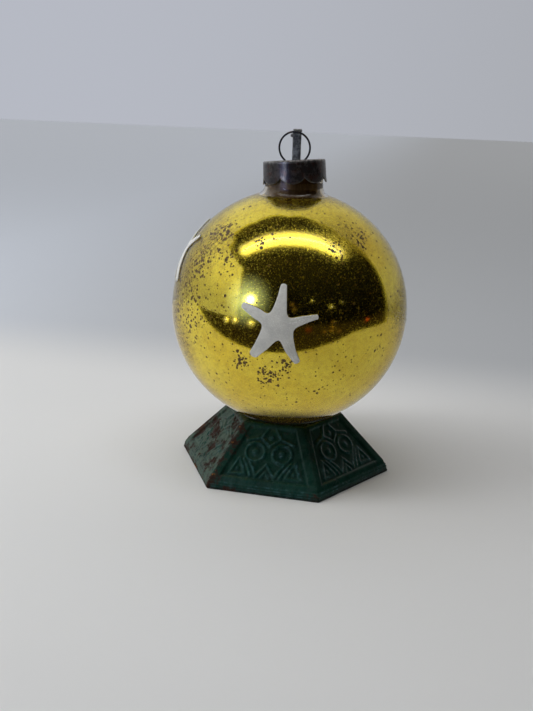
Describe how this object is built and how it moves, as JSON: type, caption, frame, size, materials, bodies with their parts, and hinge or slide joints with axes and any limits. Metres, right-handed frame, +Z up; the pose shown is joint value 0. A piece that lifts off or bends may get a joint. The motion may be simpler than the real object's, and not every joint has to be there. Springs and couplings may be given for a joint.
{
  "type": "glass ball ornament",
  "caption": "Large gilded glass ball ornament with starfish appliques, scalloped metal cap and wire loop, standing on a green hexagonal cast-iron base.",
  "frame": {"origin": "middle of the stand's foot, on the surface it stands on, below the globe's centre", "axes": "+Z up along the globe's and the stand's axis; the stand's corners lie on X, a flat side and the front starfish face -Y, and the wire loop lies in the XZ plane"},
  "size_m": [0.1, 0.1008, 0.1443],
  "materials": {
    "clear_glass": "clear blown glass, polished",
    "gilding": "yellow-gold mirror lining with brown foxing pits",
    "starfish_white": "matte chalky off-white",
    "cap_tin": "dark tarnished tin with rust-brown tints",
    "loop_wire": "blackened spring wire, satin",
    "strap_lead": "dull grey mottled lead",
    "green_iron": "worn dark green paint over rusting cast iron, satin"
  },
  "bodies": {
    "stand": {"iron_stand": "green_iron"},
    "globe": {"glass_globe": "clear_glass", "gold_lining": "gilding", "star_1": "starfish_white", "star_2": "starfish_white", "star_3": "starfish_white", "star_4": "starfish_white", "star_5": "starfish_white"},
    "cap": {"scalloped_cap": "cap_tin", "hanger_strap": "strap_lead"},
    "loop": {"hanger_wire": "loop_wire"}
  },
  "joints": [
    {"name": "globe_lift", "type": "slide", "parent": "stand", "child": "globe", "axis": [0, 0, 1], "range_m": [0, 0.12]},
    {"name": "cap_pull", "type": "slide", "parent": "globe", "child": "cap", "axis": [0, 0, 1], "range_m": [0, 0.03]},
    {"name": "loop_rock", "type": "hinge", "parent": "cap", "child": "loop", "pos_m": [-0.00041, 0.00025, 0.13194], "axis": [1, 0, 0], "range_deg": [0, 12]}
  ]
}
